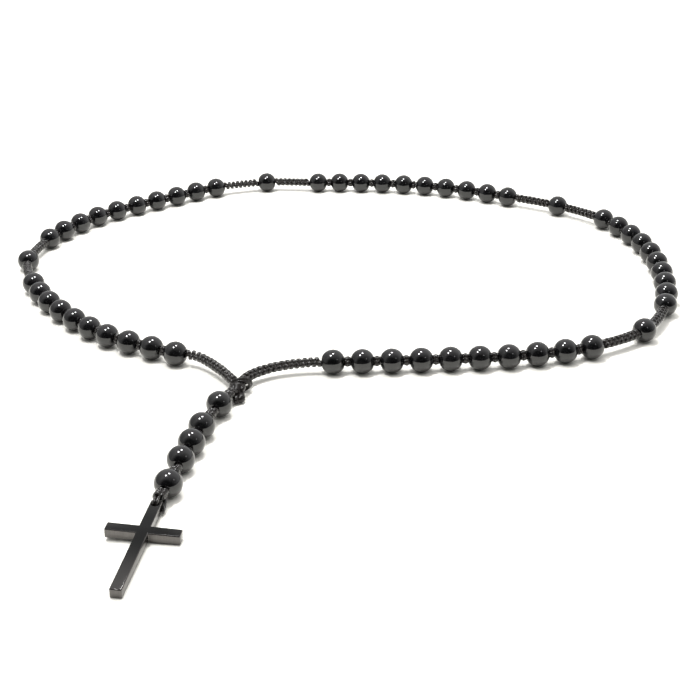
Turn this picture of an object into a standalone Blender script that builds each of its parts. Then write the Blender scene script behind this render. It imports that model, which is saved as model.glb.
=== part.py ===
"""A five-decade rosary of stone beads on knotted cord, lying flat on a table.

The loop is four strings of knotted cord that hinge on each other in the plane of the table,
so that the loop can be squeezed: three of its pivots are inside beads and one is the centre
knot. Each bead of the loop is a piece of its own and turns on the string's core. The drop
hangs from the centre knot, and the cross swings on the drop's cord loop.
"""

import math

import bmesh
import bpy
import numpy as np
from mathutils import Matrix, Vector

MM = 0.001

# Beads
BEAD_DIAMETER = 8.0 * MM
BEAD_LENGTH = 7.3 * MM  # between the two flats where the bore comes out
BEAD_BORE = 1.8 * MM
DECADES = 5
BEADS_PER_DECADE = 10

# Cord
CORE_DIAMETER = 1.0 * MM
KNOT_DIAMETER = 2.9 * MM
KNOT_LENGTH = 2.08 * MM  # between two beads of a decade
SLEEVE_LENGTH = 15.4 * MM  # on each side of an Our Father bead
ARM_DIAMETER = 3.2 * MM
RIGHT_ARM_LENGTH = 28.1 * MM  # from the centre knot to the first bead
LEFT_ARM_LENGTH = 25.0 * MM
ARM_NECK_DIAMETER = 1.7 * MM  # where an arm meets the centre knot, beside the other arm
ARM_NECK_LENGTH = 2.6 * MM
CLEARANCE = 0.3 * MM  # between pieces that touch on the real object
PIVOT_CLEARANCE = 0.65 * MM  # between a pivot bead's flat and the string that turns round it

# Centre knot
CENTRE_KNOT_DIAMETER = 5.7 * MM
CENTRE_KNOT_HEIGHT = 3.0 * MM  # of its middle above the table
TAIL_DIAMETER = 2.7 * MM
TAIL_REACH = 5.6 * MM  # from the knot's middle to the middle of the cord end's round tip
TAIL_TURN = math.radians(3)  # from straight ahead, towards +X

# Drop
DROP_TOP_SLEEVE = 7.4 * MM  # from the centre knot to the first bead
DROP_UPPER_SLEEVE = 5.9 * MM  # from the first bead to the three Hail Marys
DROP_LOWER_SLEEVE = 4.9 * MM  # from the three Hail Marys to the last bead
DROP_END_SLEEVE = 3.2 * MM  # from the last bead to where the cord loop starts
LOOP_LENGTH = 2.7 * MM  # from the end of the last sleeve to the middle of the cross's hole
LOOP_STRAND_DIAMETER = 1.4 * MM
HAIL_MARYS_ON_DROP = 3

# Cross
CROSS_LENGTH = 37.0 * MM
CROSS_SPAN = 20.0 * MM
CROSS_BAR = 3.2 * MM
CROSS_THICKNESS = 2.8 * MM
CROSS_TOP_TO_ARMS = 12.8 * MM  # from the top end to the middle of the arms
CROSS_EDGE = 0.35 * MM
HOLE_DIAMETER = 2.2 * MM
HOLE_FROM_END = 1.7 * MM
CROSS_TURN = math.radians(-8.4)  # in the plane of the table, from straight ahead
CROSS_END_LIFT = 0.8 * MM  # the cord under the top end holds it off the table

# The way the cord lies, in millimetres on the table, from the centre knot round the loop to the
# right and back, and from the centre knot down the drop to the cross's hole.
LOOP_ROUTE = [
    (-31, -45), (-29.5, -41), (-27, -37.8), (-23.5, -35.5), (-19.5, -33.8), (-12, -32.3),
    (-2.5, -32), (16.5, -32), (35, -31.5), (54, -30.5), (72.5, -27.5), (81.5, -25),
    (101, -13.5), (112, 4.5), (116.5, 23.5), (118, 42.5), (116.5, 61), (111, 79.5),
    (106.5, 88), (90.5, 104), (71, 116), (54, 125), (36.5, 131.5), (18, 135.5),
    (-0.5, 137.5), (-10, 138), (-32.5, 139.5), (-54, 133.5), (-69.5, 124), (-85, 113.5),
    (-99.5, 101.5), (-110.5, 86), (-114.5, 77.5), (-118, 54.5), (-111, 33), (-102, 17),
    (-90.5, 2.5), (-77, -10.5), (-61, -20), (-53, -24.2), (-46.5, -26), (-42.5, -29.2),
    (-39, -33.2), (-36, -37.2), (-33.5, -41.2), (-31, -45),
]
DROP_ROUTE = [
    (-31, -45), (-36, -58), (-40, -70.5), (-42, -79.5), (-44, -88.5), (-46, -100.5),
    (-48.5, -110),
]

# Beads in which one string of the loop turns on the next, counted from the right arm
RIGHT_PIVOT = "decade_2_bead_6"
BACK_PIVOT = "decade_3_bead_5"
LEFT_PIVOT = "decade_5_bead_1"

# Fineness
SIDES_OF_BEAD = 10
STEPS_ON_BEAD = 4
SIDES_OF_CORD = 6
LONGEST_STEP = 4.0 * MM
POINTS_PER_SPAN = 24


class Path:
    """A smooth curve on the table through a route's points, scaled about its first point so
    that it is as long as what is strung on it."""

    def __init__(self, route, length, heights):
        points = np.array(route, float) * MM
        curve = smooth(points)
        own_length = np.linalg.norm(np.diff(curve, axis=0), axis=1).sum()
        self.plan = points[0] + (curve - points[0]) * (length / own_length)
        steps = np.linalg.norm(np.diff(self.plan, axis=0), axis=1)
        self.along = np.concatenate([[0.0], np.cumsum(steps)])
        self.heights = heights

    def point(self, s):
        x = np.interp(s, self.along, self.plan[:, 0])
        y = np.interp(s, self.along, self.plan[:, 1])
        return Vector((x, y, np.interp(s, *zip(*self.heights))))

    def tangent(self, s):
        reach = 0.5 * MM
        return (self.point(s + reach) - self.point(s - reach)).normalized()

    def heading(self, s):
        """The angle of the curve on the table, from +X."""
        tangent = self.tangent(s)
        return math.atan2(tangent.y, tangent.x)


def smooth(points):
    """A centripetal Catmull-Rom curve through the points."""
    ends = 2 * points[0] - points[1], 2 * points[-1] - points[-2]
    points = np.vstack([ends[0], points, ends[1]])
    curve = []
    for i in range(1, len(points) - 2):
        a, b, c, d = points[i - 1 : i + 3]
        steps = [np.linalg.norm(q - p) ** 0.5 for p, q in ((a, b), (b, c), (c, d))]
        t0, t1, t2, t3 = np.cumsum([0.0, *steps])
        t = np.linspace(t1, t2, POINTS_PER_SPAN, endpoint=False)[:, None]
        ab = (t1 - t) / (t1 - t0) * a + (t - t0) / (t1 - t0) * b
        bc = (t2 - t) / (t2 - t1) * b + (t - t1) / (t2 - t1) * c
        cd = (t3 - t) / (t3 - t2) * c + (t - t2) / (t3 - t2) * d
        abc = (t2 - t) / (t2 - t0) * ab + (t - t0) / (t2 - t0) * bc
        bcd = (t3 - t) / (t3 - t1) * bc + (t - t1) / (t3 - t1) * cd
        curve.append((t2 - t) / (t2 - t1) * abc + (t - t1) / (t2 - t1) * bcd)
    return np.vstack(curve + [points[-2:-1]])


def strung_loop():
    """(name, place of its middle along the loop) of each bead, and the whole loop's length."""
    beads = []
    s = CENTRE_KNOT_DIAMETER / 2 + RIGHT_ARM_LENGTH
    for decade in range(1, DECADES + 1):
        for bead in range(1, BEADS_PER_DECADE + 1):
            beads.append((f"decade_{decade}_bead_{bead}", s + BEAD_LENGTH / 2))
            s += BEAD_LENGTH + (KNOT_LENGTH if bead < BEADS_PER_DECADE else 0)
        if decade < DECADES:
            s += SLEEVE_LENGTH
            beads.append((f"our_father_bead_{decade}", s + BEAD_LENGTH / 2))
            s += BEAD_LENGTH + SLEEVE_LENGTH
    return beads, s + LEFT_ARM_LENGTH + CENTRE_KNOT_DIAMETER / 2


def strung_drop():
    """The place of each of the drop's beads along it, and its length to the cross's hole."""
    knots = [KNOT_LENGTH] * (HAIL_MARYS_ON_DROP - 1)
    gaps = [DROP_TOP_SLEEVE, DROP_UPPER_SLEEVE, *knots, DROP_LOWER_SLEEVE]
    beads, s = [], CENTRE_KNOT_DIAMETER / 2
    for gap in gaps:
        s += gap + BEAD_LENGTH
        beads.append(s - BEAD_LENGTH / 2)
    return beads, s + DROP_END_SLEEVE + LOOP_LENGTH


def bead_outline():
    """(place along the bore from the bead's middle, radius) from one flat to the other."""
    edge = math.asin(BEAD_LENGTH / BEAD_DIAMETER)
    angles = [edge * (2 * i / STEPS_ON_BEAD - 1) for i in range(STEPS_ON_BEAD + 1)]
    return [(BEAD_DIAMETER / 2 * math.sin(a), BEAD_DIAMETER / 2 * math.cos(a)) for a in angles]


def material(name, colour, roughness, metallic=0.0):
    made = bpy.data.materials.new(name)
    made.use_nodes = True
    shader = made.node_tree.nodes["Principled BSDF"]
    shader.inputs["Base Color"].default_value = (*colour, 1.0)
    shader.inputs["Roughness"].default_value = roughness
    shader.inputs["Metallic"].default_value = metallic
    made.diffuse_color = (*colour, 1.0)
    return made


def mesh_object(name, shape, finish, origin=Vector(), parent=None):
    """An object from a closed bmesh in world space, with its origin where it turns."""
    bmesh.ops.translate(shape, verts=shape.verts, vec=-origin)
    bmesh.ops.recalc_face_normals(shape, faces=shape.faces)
    mesh = bpy.data.meshes.new(name)
    shape.to_mesh(mesh)
    shape.free()
    mesh.shade_smooth()
    mesh.set_sharp_from_angle(angle=math.radians(40))
    mesh.materials.append(finish)
    return add_object(name, mesh, origin, parent)


def add_object(name, mesh, place, parent):
    made = bpy.data.objects.new(name, mesh)
    bpy.context.scene.collection.objects.link(made)
    made.location = place - (parent["turns_at"] if parent else Vector())
    made.parent = parent["object"] if parent else None
    return made


def ring_strip(shape, rings):
    """Walls from each ring of vertices to the next, and a cap on each end."""
    for first, second in zip(rings, rings[1:]):
        for i in range(len(first)):
            j = (i + 1) % len(first)
            shape.faces.new((first[i], first[j], second[j], second[i]))
    shape.faces.new(rings[0])
    shape.faces.new(reversed(rings[-1]))


def swept(stations):
    """A closed tube round (point, tangent, radius) stations, carried along without twist."""
    shape = bmesh.new()
    rings, side = [], None
    for point, tangent, radius in stations:
        if side is None:
            side = Vector((0, 0, 1)).cross(tangent)
        side = (side - side.dot(tangent) * tangent).normalized()
        up = tangent.cross(side)
        ring = []
        for i in range(SIDES_OF_CORD):
            angle = 2 * math.pi * (i + 0.5) / SIDES_OF_CORD
            out = math.cos(angle) * side + math.sin(angle) * up
            ring.append(shape.verts.new(point + radius * out))
        rings.append(ring)
    ring_strip(shape, rings)
    return shape


def tube_stations(path, start, end, radius):
    """Stations of an even stretch of cord, close enough to follow the path's bends."""
    count = max(1, math.ceil((end - start) / LONGEST_STEP))
    places = [start + (end - start) * i / count for i in range(count + 1)]
    return [(path.point(s), path.tangent(s), radius) for s in places]


def bead_mesh(finish):
    """One drilled bead with its bore along X, shared by every bead of the loop."""
    outline = bead_outline()
    profile = [(outline[0][0], BEAD_BORE / 2), *outline, (outline[-1][0], BEAD_BORE / 2)]
    shape = bmesh.new()
    # the first vertex of each ring points down, so that the bead stands on the table
    points = [shape.verts.new((x, 0, -radius)) for x, radius in profile]
    edges = [shape.edges.new(pair) for pair in zip(points, points[1:] + points[:1])]
    bmesh.ops.spin(
        shape, geom=points + edges, cent=(0, 0, 0), axis=(1, 0, 0), angle=2 * math.pi,
        steps=SIDES_OF_BEAD, use_merge=True,
    )
    bmesh.ops.remove_doubles(shape, verts=shape.verts, dist=0.01 * MM)
    bmesh.ops.recalc_face_normals(shape, faces=shape.faces)
    mesh = bpy.data.meshes.new("bead")
    shape.to_mesh(mesh)
    shape.free()
    mesh.shade_smooth()
    mesh.set_sharp_from_angle(angle=math.radians(50))
    mesh.materials.append(finish)
    return mesh


def string_stations(path, beads, start, end):
    """Stations of one string of the loop from start to end: a thin core inside each bead, and
    knotted cord between them."""
    half = BEAD_LENGTH / 2 + CLEARANCE
    edges = [start]
    for middle in beads:
        edges += [max(start, middle - half), min(end, middle + half)]
    edges.append(end)
    stations = []
    for i, (low, high) in enumerate(zip(edges, edges[1:])):
        if high - low < CLEARANCE:
            continue
        if i % 2:
            stations += core_stations(path, beads[i // 2], low, high)
            continue
        radius = cord_radius(path, low, high)
        if low < RIGHT_ARM_LENGTH / 2:
            stations.append((path.point(low), path.tangent(low), ARM_NECK_DIAMETER / 2))
            low += ARM_NECK_LENGTH
        neck = high > path.along[-1] - LEFT_ARM_LENGTH / 2
        stations += tube_stations(path, low, high - ARM_NECK_LENGTH * neck, radius)
        if neck:
            stations.append((path.point(high), path.tangent(high), ARM_NECK_DIAMETER / 2))
    return stations


def core_stations(path, middle, low, high):
    """The core from low to high, straight through the bore of the bead at middle."""
    along = Matrix.Rotation(path.heading(middle), 3, "Z") @ Vector((1, 0, 0))
    return [
        (path.point(middle) + along * (s - middle), along, CORE_DIAMETER / 2)
        for s in (low, high)
    ]


def cord_radius(path, low, high):
    on_arm = low < RIGHT_ARM_LENGTH / 2 or high > path.along[-1] - LEFT_ARM_LENGTH / 2
    return ARM_DIAMETER / 2 if on_arm else KNOT_DIAMETER / 2


def make_loop(stone, cord):
    """The four strings and their beads. Gives the strings by name."""
    beads, length = strung_loop()
    arm_start = CENTRE_KNOT_DIAMETER / 2 + 0.4 * MM
    bead_height = BEAD_DIAMETER / 2
    heights = [
        (0, CENTRE_KNOT_HEIGHT), (RIGHT_ARM_LENGTH, bead_height),
        (length - LEFT_ARM_LENGTH, bead_height), (length, CENTRE_KNOT_HEIGHT),
    ]
    path = Path(LOOP_ROUTE, length, heights)
    place = dict(beads)
    right, back, left = place[RIGHT_PIVOT], place[BACK_PIVOT], place[LEFT_PIVOT]
    core_end = BEAD_LENGTH / 2 - CLEARANCE
    past_pivot = BEAD_LENGTH / 2 + PIVOT_CLEARANCE
    # name: (start, end, place where it turns, string it turns on)
    strings = {
        "right_front_string": (arm_start, right + core_end, 0.0, None),
        "right_back_string": (right + past_pivot, back + core_end, right, "right_front_string"),
        "left_front_string": (left - core_end, length - arm_start, 0.0, "right_front_string"),
        "left_back_string": (back + past_pivot, left - past_pivot, left, "left_front_string"),
    }
    mesh = bead_mesh(stone)
    made = {}
    for name, (start, end, turn, held_by) in strings.items():
        own = [(bead, s) for bead, s in beads if start < s < end]
        turns_at = path.point(turn)
        shape = swept(string_stations(path, [s for _, s in own], start, end))
        string = mesh_object(name, shape, cord, turns_at, made.get(held_by))
        made[name] = {"object": string, "turns_at": turns_at}
        for bead, s in own:
            copy = add_object(bead, mesh, path.point(s), made[name])
            copy.rotation_euler.z = path.heading(s)
    return made


def centre_knot(middle):
    """The round knot, and the melted cord end that stands out of it along the table."""
    shape = bmesh.new()
    bmesh.ops.create_uvsphere(
        shape, u_segments=14, v_segments=8, radius=CENTRE_KNOT_DIAMETER / 2,
        matrix=Matrix.Translation(middle),
    )
    ahead = Vector((math.sin(TAIL_TURN), -math.cos(TAIL_TURN), 0))
    tip = Vector((middle.x, middle.y, TAIL_DIAMETER / 2 + CLEARANCE)) + TAIL_REACH * ahead
    tail = bmesh.new()
    bmesh.ops.create_uvsphere(
        tail, u_segments=8, v_segments=6, radius=TAIL_DIAMETER / 2, matrix=Matrix.Translation(tip)
    )
    root = middle - Vector((0, 0, CENTRE_KNOT_DIAMETER / 6))
    for vert in tail.verts:
        if (vert.co - tip).dot(ahead) < -0.1 * MM:
            vert.co += root - tip
    return shape, tail


def drop_outline(path, beads, end):
    """Stations of the drop's cord with its beads as swellings of it: one closed piece."""
    stations = tube_stations(path, 0.0, beads[0] - BEAD_LENGTH / 2, KNOT_DIAMETER / 2)
    for i, middle in enumerate(beads):
        for x, radius in bead_outline():
            stations.append((path.point(middle + x), path.tangent(middle), radius))
        low = middle + BEAD_LENGTH / 2
        high = beads[i + 1] - BEAD_LENGTH / 2 if i + 1 < len(beads) else end
        stations += tube_stations(path, low, high, KNOT_DIAMETER / 2)
    return stations


def loop_stations(start, over, radius, hole, down, bottom):
    """Stations of the cord loop: level over the cross's end, round a bend, and down its hole."""
    level = (hole - over).normalized()
    bend = radius * 1.15
    stations = [(start, (over - start).normalized(), radius)]
    middle = hole - level * bend + down * bend
    for i in range(4):
        angle = math.pi / 2 * i / 3
        point = middle + bend * (math.sin(angle) * level - math.cos(angle) * down)
        stations.append((point, math.cos(angle) * level + math.sin(angle) * down, radius))
    stations.append((bottom, down, radius))
    return stations


def union(target, others):
    for other in others:
        joined = target.modifiers.new("join", "BOOLEAN")
        joined.operation = "UNION"
        joined.solver = "EXACT"
        joined.object = other
        other.hide_render = True
        other.display_type = "WIRE"


def cross_place(hole_on_table):
    """The matrix that puts the cross on the table: the origin is the hole's middle, -Y runs
    down the upright, and +Z comes out of the upper face. The lower end rests on the table."""
    below_hole = CROSS_LENGTH - HOLE_FROM_END
    tilt = math.asin(CROSS_END_LIFT / below_hole)
    height = math.sin(tilt) * below_hole + math.cos(tilt) * CROSS_THICKNESS / 2
    turn = Matrix.Rotation(CROSS_TURN, 4, "Z") @ Matrix.Rotation(tilt, 4, "X")
    return Matrix.Translation((hole_on_table.x, hole_on_table.y, height)) @ turn


def make_drop(stone, cord, loop):
    """The centre knot, the drop's cord and its beads as one piece, and where the cross goes."""
    beads, length = strung_drop()
    path = Path(
        DROP_ROUTE, length,
        [(0, CENTRE_KNOT_HEIGHT), (beads[0] - BEAD_LENGTH / 2, BEAD_DIAMETER / 2)],
    )
    middle = path.point(0)
    place = cross_place(path.point(length))
    down = -(place.to_3x3() @ Vector((0, 0, 1)))
    strand = LOOP_STRAND_DIAMETER / 2
    above = CROSS_THICKNESS / 2 + CLEARANCE + strand
    sleeve_end = length - LOOP_LENGTH
    over_hole = place @ Vector((0, 0, above))
    past_end = place @ Vector((0, HOLE_FROM_END + CLEARANCE, above))
    bottom = place @ Vector((0, 0, -CROSS_THICKNESS / 2))
    start = path.point(sleeve_end - strand)

    anchor = loop["right_front_string"]
    string = mesh_object(
        "drop_string", swept(drop_outline(path, beads, sleeve_end)), cord, middle, anchor
    )
    knot, tail = centre_knot(middle)
    end_loop = swept(loop_stations(start, past_end, strand, over_hole, down, bottom))
    guides = [
        mesh_object("centre_knot_guide", knot, cord),
        mesh_object("cord_end_guide", tail, cord),
        mesh_object("cord_loop_guide", end_loop, cord),
    ]
    union(string, guides)
    string.data.materials.append(stone)
    colour_beads(string.data, path, beads, middle)
    return {"object": string, "turns_at": middle}, place


def colour_beads(mesh, path, beads, middle):
    """The faces of the drop's swellings are stone."""
    for face in mesh.polygons:
        for s in beads:
            off = Vector(face.center) + middle - path.point(s)
            if abs(off.length - BEAD_DIAMETER / 2) < 0.12 * BEAD_DIAMETER:
                face.material_index = 1


def box(size, middle):
    shape = bmesh.new()
    bmesh.ops.create_cube(shape, size=1.0)
    bmesh.ops.scale(shape, verts=shape.verts, vec=size)
    bmesh.ops.translate(shape, verts=shape.verts, vec=middle)
    return shape


def make_cross(metal, drop, place):
    """A bar cross with softened edges, drilled through its top end."""
    half_bar, half_span = CROSS_BAR / 2, CROSS_SPAN / 2
    top, bottom = HOLE_FROM_END, HOLE_FROM_END - CROSS_LENGTH
    arms = HOLE_FROM_END - CROSS_TOP_TO_ARMS
    corners = [
        (half_bar, top), (-half_bar, top), (-half_bar, arms + half_bar),
        (-half_span, arms + half_bar), (-half_span, arms - half_bar),
        (-half_bar, arms - half_bar), (-half_bar, bottom), (half_bar, bottom),
        (half_bar, arms - half_bar), (half_span, arms - half_bar),
        (half_span, arms + half_bar), (half_bar, arms + half_bar),
    ]
    shape = bmesh.new()
    face = shape.faces.new([shape.verts.new((x, y, -CROSS_THICKNESS / 2)) for x, y in corners])
    raised = bmesh.ops.extrude_face_region(shape, geom=[face])["geom"]
    moved = [part for part in raised if isinstance(part, bmesh.types.BMVert)]
    bmesh.ops.translate(shape, verts=moved, vec=(0, 0, CROSS_THICKNESS))
    cross = mesh_object("cross", shape, metal)

    edge = cross.modifiers.new("softened edges", "BEVEL")
    edge.width = CROSS_EDGE
    edge.segments = 1
    edge.limit_method = "ANGLE"
    drill_shape = bmesh.new()
    bmesh.ops.create_cone(
        drill_shape, cap_ends=True, segments=16, radius1=HOLE_DIAMETER / 2,
        radius2=HOLE_DIAMETER / 2, depth=2 * CROSS_THICKNESS,
    )
    drill = mesh_object("hole_guide", drill_shape, metal)
    drill.hide_render = True
    drill.display_type = "WIRE"
    cut = cross.modifiers.new("hole for the cord loop", "BOOLEAN")
    cut.operation = "DIFFERENCE"
    cut.solver = "EXACT"
    cut.object = drill
    drill.parent = cross
    cross.parent = drop["object"]
    cross.matrix_local = Matrix.Translation(-drop["turns_at"]) @ place


def main():
    for old in list(bpy.data.objects):
        bpy.data.objects.remove(old, do_unlink=True)
    stone = material("polished black stone", (0.012, 0.012, 0.014), 0.06)
    cord = material("black waxed cord", (0.018, 0.017, 0.018), 0.55)
    metal = material("dark polished steel", (0.09, 0.085, 0.08), 0.18, metallic=1.0)
    loop = make_loop(stone, cord)
    drop, place = make_drop(stone, cord, loop)
    make_cross(metal, drop, place)


main()
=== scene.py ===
"""A rosary of polished black stone beads on knotted cord, with a dark steel cross.

It is laid out as an add-on: sizes and colours are properties, each group of pieces has an
operator, and a panel in the 3D view's sidebar lists them.
"""

import math
import random

import bmesh
import bpy
import numpy as np
from mathutils import Matrix, Vector


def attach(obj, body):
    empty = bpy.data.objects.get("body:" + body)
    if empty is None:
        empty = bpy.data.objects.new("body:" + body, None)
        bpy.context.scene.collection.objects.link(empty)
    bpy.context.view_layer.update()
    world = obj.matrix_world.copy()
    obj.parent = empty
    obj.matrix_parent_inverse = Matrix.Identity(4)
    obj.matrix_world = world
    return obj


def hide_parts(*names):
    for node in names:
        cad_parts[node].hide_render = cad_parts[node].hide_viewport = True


bl_info = {
    "name": "Knotted Rosary",
    "version": (1, 0, 0),
    "blender": (4, 5, 0),
    "location": "View3D > Sidebar > Rosary",
    "description": "Polished beads, knotted cord and a steel cross on the packed frame",
    "category": "Object",
}

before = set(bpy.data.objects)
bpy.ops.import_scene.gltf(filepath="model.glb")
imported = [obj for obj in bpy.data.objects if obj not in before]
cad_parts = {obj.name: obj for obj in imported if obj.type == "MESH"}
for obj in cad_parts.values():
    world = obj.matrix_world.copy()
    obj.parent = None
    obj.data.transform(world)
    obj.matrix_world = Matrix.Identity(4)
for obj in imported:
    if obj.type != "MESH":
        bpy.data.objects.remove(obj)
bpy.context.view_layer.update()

MM = 0.001
DECADES = 5
BEADS_PER_DECADE = 10

# The way the cord lies, in metres: round the loop from the centre knot, and down the drop.
LOOP_ROUTE = [
    (-0.031, -0.045), (-0.0295, -0.041), (-0.027, -0.0378), (-0.0235, -0.0355),
    (-0.0195, -0.0338), (-0.012, -0.0323), (-0.0025, -0.032), (0.0165, -0.032),
    (0.035, -0.0315), (0.054, -0.0305), (0.0725, -0.0275), (0.0815, -0.025),
    (0.101, -0.0135), (0.112, 0.0045), (0.1165, 0.0235), (0.118, 0.0425),
    (0.1165, 0.061), (0.111, 0.0795), (0.1065, 0.088), (0.0905, 0.104), (0.071, 0.116),
    (0.054, 0.125), (0.0365, 0.1315), (0.018, 0.1355), (-0.0005, 0.1375), (-0.01, 0.138),
    (-0.0325, 0.1395), (-0.054, 0.1335), (-0.0695, 0.124), (-0.085, 0.1135),
    (-0.0995, 0.1015), (-0.1105, 0.086), (-0.1145, 0.0775), (-0.118, 0.0545),
    (-0.111, 0.033), (-0.102, 0.017), (-0.0905, 0.0025), (-0.077, -0.0105),
    (-0.061, -0.02), (-0.053, -0.0242), (-0.0465, -0.026), (-0.0425, -0.0292),
    (-0.039, -0.0332), (-0.036, -0.0372), (-0.0335, -0.0412), (-0.031, -0.045),
]
DROP_ROUTE = [
    (-0.031, -0.045), (-0.036, -0.058), (-0.04, -0.0705), (-0.042, -0.0795),
    (-0.044, -0.0885), (-0.046, -0.1005), (-0.0485, -0.11),
]
STRINGS = {
    "right_front": ("", "decade_2_bead_6"),
    "right_back": ("decade_2_bead_6", "decade_3_bead_5"),
    "left_back": ("decade_3_bead_5", "decade_5_bead_1"),
    "left_front": ("decade_5_bead_1", ""),
}

# Knots: which way their flat side faces, the shares of a doubled strand's thickness that its
# two strands have as radius and as distance from its middle, and the points on each turn
KNOT_FACE = Vector((0.0, -0.88, 0.47))
STRAND_RADIUS = 0.33
STRAND_APART = 0.14
STEPS_PER_TURN = 18
LONGEST_KNOT = 2.6 * MM  # a longer stretch between two beads is tied as a sleeve
SHORTEST_WORK = 1.0 * MM  # a shorter stretch has no knot
SLEEVE_PITCH = 1.9 * MM  # from a lobe to the next one on the same side
WORK_MARGIN = 0.05 * MM  # between a knot and its bead
MELTED = 1  # the melted finish's place among the finishes of the drop's pieces

# How the cross lies: turned on the table, and rolled a little about its long side
CROSS_TURN = math.radians(-8.4)
CROSS_ROLL = math.radians(2.4)

# Camera and light, in metres, millimetres of lens and watts
CAMERA_PLACE = (0.0035, -0.387, 0.1895)
CAMERA_PITCH = math.radians(90 - 27.07)
CAMERA_ROLL = math.radians(-1.04)
CAMERA_LENS = 64.73
TABLE_SIZE = 30.0
LAMPS = [  # name, place, size, power
    ("lamp left", (-0.145, -0.056, 0.48), (0.088, 0.072), 1.4),
    ("lamp right", (0.016, 0.11, 0.48), (0.088, 0.072), 1.4),
    ("lamp small", (0.17, -0.17, 0.18), (0.03, 0.03), 0.014),
    ("fill", (0.0, 0.0, 1.6), (2.4, 2.4), 27.0),
]
BACKDROP = 0.95  # how bright the surroundings are to the camera itself


def length_property(name, description, default):
    return bpy.props.FloatProperty(
        name=name, description=description, default=default, min=0.0, unit="LENGTH", precision=5
    )


def colour_property(name, description, default):
    return bpy.props.FloatVectorProperty(
        name=name, description=description, default=default, min=0.0, max=1.0, size=3,
        subtype="COLOR",
    )


class RosarySizes(bpy.types.PropertyGroup):
    """Sizes of the beads, the cord and the cross."""

    bead_diameter: length_property("Bead diameter", "Across a bead", 0.008)
    bead_length: length_property("Bead length", "Between a bead's two flats", 0.0073)
    bead_bore: length_property("Bead bore", "Hole through a bead", 0.0018)
    knot_length: length_property("Knot length", "Between two beads of a decade", 0.00208)
    sleeve_length: length_property("Sleeve length", "Each side of an Our Father bead", 0.0154)
    right_arm: length_property("Right arm", "Centre knot to the first bead", 0.0281)
    left_arm: length_property("Left arm", "Last bead to the centre knot", 0.025)
    core_diameter: length_property("Core diameter", "Cord inside the beads", 0.001)
    strand_diameter: length_property("Strand diameter", "Cord that the knots are tied in", 0.00145)
    centre_knot: length_property("Centre knot", "Across the centre knot", 0.0057)
    centre_height: length_property("Centre height", "Middle of the centre knot", 0.003)
    top_sleeve: length_property("Top sleeve", "Centre knot to the drop's first bead", 0.0074)
    upper_sleeve: length_property("Upper sleeve", "First bead to the Hail Marys", 0.0059)
    lower_sleeve: length_property("Lower sleeve", "Hail Marys to the last bead", 0.0049)
    end_sleeve: length_property("End sleeve", "Last bead to the cord loop", 0.0032)
    cord_loop: length_property("Cord loop", "End sleeve to the cross's hole", 0.0027)
    cross_length: length_property("Cross length", "Top end to bottom end", 0.037)
    cross_span: length_property("Cross span", "Across the arms", 0.020)
    cross_bar: length_property("Cross bar", "Width of the bars", 0.0032)
    cross_thickness: length_property("Cross thickness", "Front to back", 0.0028)
    cross_top: length_property("Cross top", "Top end to the middle of the arms", 0.0128)
    cross_hole: length_property("Cross hole", "Hole for the cord loop", 0.0022)
    hole_from_end: length_property("Hole from end", "Top end to the hole's middle", 0.0017)
    end_lift: length_property("End lift", "Top end above the table", 0.0008)


class RosaryColours(bpy.types.PropertyGroup):
    """Colours of the stone, the cord, the steel and the table."""

    stone: colour_property("Stone", "Beads", (0.0035, 0.0035, 0.0038))
    cord: colour_property("Cord", "Waxed cord", (0.009, 0.0075, 0.007))
    steel: colour_property("Steel", "Sides of the cross", (0.105, 0.1, 0.097))
    front: colour_property("Front", "Front of the cross", (0.004, 0.004, 0.004))
    table: colour_property("Table", "Surface under the rosary", (0.88, 0.865, 0.81))


# Where things lie


class Lay:
    """A smooth curve through a route's points, as long as what is strung on it."""

    def __init__(self, route, length, heights):
        points = np.array(route, float)
        curve = smooth(points)
        own = np.linalg.norm(np.diff(curve, axis=0), axis=1).sum()
        self.plan = points[0] + (curve - points[0]) * (length / own)
        steps = np.linalg.norm(np.diff(self.plan, axis=0), axis=1)
        self.along = np.concatenate([[0.0], np.cumsum(steps)])
        self.length = length
        self.heights = heights

    def point(self, s):
        x = np.interp(s, self.along, self.plan[:, 0])
        y = np.interp(s, self.along, self.plan[:, 1])
        return Vector((x, y, np.interp(s, *zip(*self.heights))))

    def tangent(self, s):
        reach = 0.5 * MM
        return (self.point(s + reach) - self.point(s - reach)).normalized()

    def section(self, s):
        """(along, towards the upper lobes, out of the knots' flat side) at s."""
        along = self.tangent(s)
        face = (KNOT_FACE - KNOT_FACE.dot(along) * along).normalized()
        return along, face.cross(along).normalized(), face


def smooth(points):
    """A centripetal Catmull-Rom curve through the points."""
    points = np.vstack([2 * points[0] - points[1], points, 2 * points[-1] - points[-2]])
    curve = []
    for i in range(1, len(points) - 2):
        a, b, c, d = points[i - 1 : i + 3]
        steps = [np.linalg.norm(q - p) ** 0.5 for p, q in ((a, b), (b, c), (c, d))]
        t0, t1, t2, t3 = np.cumsum([0.0, *steps])
        t = np.linspace(t1, t2, 24, endpoint=False)[:, None]
        ab = (t1 - t) / (t1 - t0) * a + (t - t0) / (t1 - t0) * b
        bc = (t2 - t) / (t2 - t1) * b + (t - t1) / (t2 - t1) * c
        cd = (t3 - t) / (t3 - t2) * c + (t - t2) / (t3 - t2) * d
        abc = (t2 - t) / (t2 - t0) * ab + (t - t0) / (t2 - t0) * bc
        bcd = (t3 - t) / (t3 - t1) * bc + (t - t1) / (t3 - t1) * cd
        curve.append((t2 - t) / (t2 - t1) * abc + (t - t1) / (t2 - t1) * bcd)
    return np.vstack(curve + [points[-2:-1]])


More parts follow.
